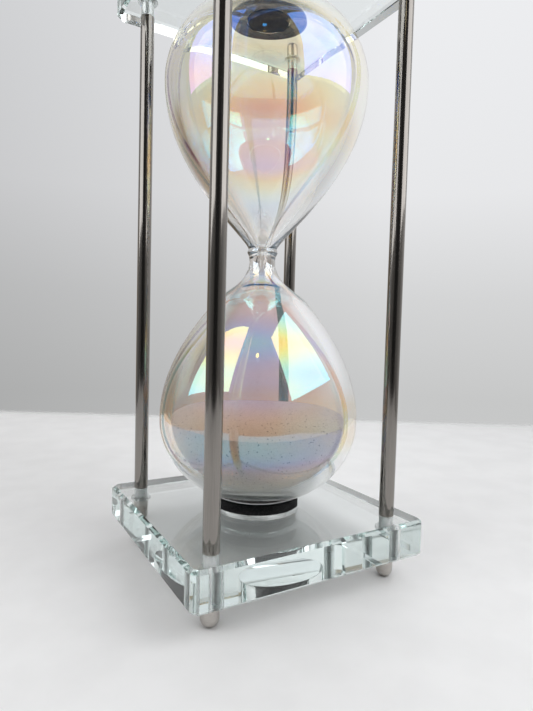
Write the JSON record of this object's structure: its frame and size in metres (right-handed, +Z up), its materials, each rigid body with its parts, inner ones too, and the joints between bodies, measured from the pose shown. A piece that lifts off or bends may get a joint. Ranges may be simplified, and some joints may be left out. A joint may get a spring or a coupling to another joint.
{
  "type": "hourglass",
  "caption": "Hourglass with an iridescent blown glass body of two teardrop bulbs, clamped on foam pads between thick square bevelled glass plates by steel rods with dome nuts.",
  "frame": {"origin": "on the floor under the centre of the base plate, level with the feet's tips", "axes": "+Z up along the bulbs' axis, -Y out of the front face of the base plate, +X to its right"},
  "size_m": [0.1, 0.1, 0.2598],
  "materials": {
    "plate_glass": "clear polished plate glass with a faint blue-green tint at the edges",
    "bulb_glass": "clear blown glass with a thin iridescent film",
    "sand": "fine white sand with silver grains",
    "black_foam": "matte closed-cell foam",
    "stopper_rubber": "matte moulded rubber",
    "rod_steel": "brushed along its length",
    "nut_steel": "satin turned",
    "stud_steel": "bright zinc plated thread",
    "clear_plastic": "clear moulded plastic"
  },
  "bodies": {
    "root": {"base_plate": "plate_glass", "top_plate": "plate_glass", "glass_body": "bulb_glass", "stopper": "stopper_rubber", "sand": "sand", "lower_pad": "black_foam", "upper_pad": "black_foam", "rod_front_left": "rod_steel", "rod_front_right": "rod_steel", "rod_back_left": "rod_steel", "rod_back_right": "rod_steel", "foot_nut_front_left": "nut_steel", "cap_nut_front_left": "nut_steel", "foot_nut_front_right": "nut_steel", "cap_nut_front_right": "nut_steel", "foot_nut_back_left": "nut_steel", "cap_nut_back_left": "nut_steel", "foot_nut_back_right": "nut_steel", "cap_nut_back_right": "nut_steel", "lower_stud_front_left": "stud_steel", "lower_washer_front_left": "clear_plastic", "lower_stud_front_right": "stud_steel", "lower_washer_front_right": "clear_plastic", "lower_stud_back_left": "stud_steel", "lower_washer_back_left": "clear_plastic", "lower_stud_back_right": "stud_steel", "lower_washer_back_right": "clear_plastic", "upper_stud_front_left": "stud_steel", "upper_washer_front_left": "clear_plastic", "upper_stud_front_right": "stud_steel", "upper_washer_front_right": "clear_plastic", "upper_stud_back_left": "stud_steel", "upper_washer_back_left": "clear_plastic", "upper_stud_back_right": "stud_steel", "upper_washer_back_right": "clear_plastic"}
  },
  "joints": []
}
